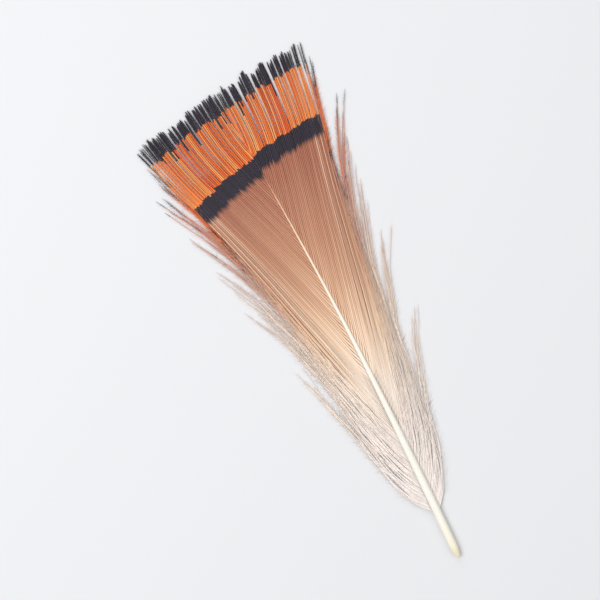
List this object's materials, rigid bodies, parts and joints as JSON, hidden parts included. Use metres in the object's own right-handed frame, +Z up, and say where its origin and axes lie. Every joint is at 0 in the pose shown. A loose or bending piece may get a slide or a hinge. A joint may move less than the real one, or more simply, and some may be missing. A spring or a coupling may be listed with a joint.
{
  "type": "golden pheasant neck feather",
  "caption": "Flat-lying tippet feather with a tapered shaft, a square-ended fan vane, two dark bars across its orange end and loose pale barbs near the quill.",
  "frame": {"origin": "middle of the feather's box, on the surface it lies on", "axes": "+Y runs from the cut quill to the barred tip, +Z up out of the feather's upper face, +X to the right seen from above with the tip away from the viewer"},
  "size_m": [0.0205, 0.0516, 0.002],
  "materials": {
    "vane": "matte",
    "shaft": "satin"
  },
  "bodies": {
    "root": {"feather": "vane"}
  },
  "joints": []
}
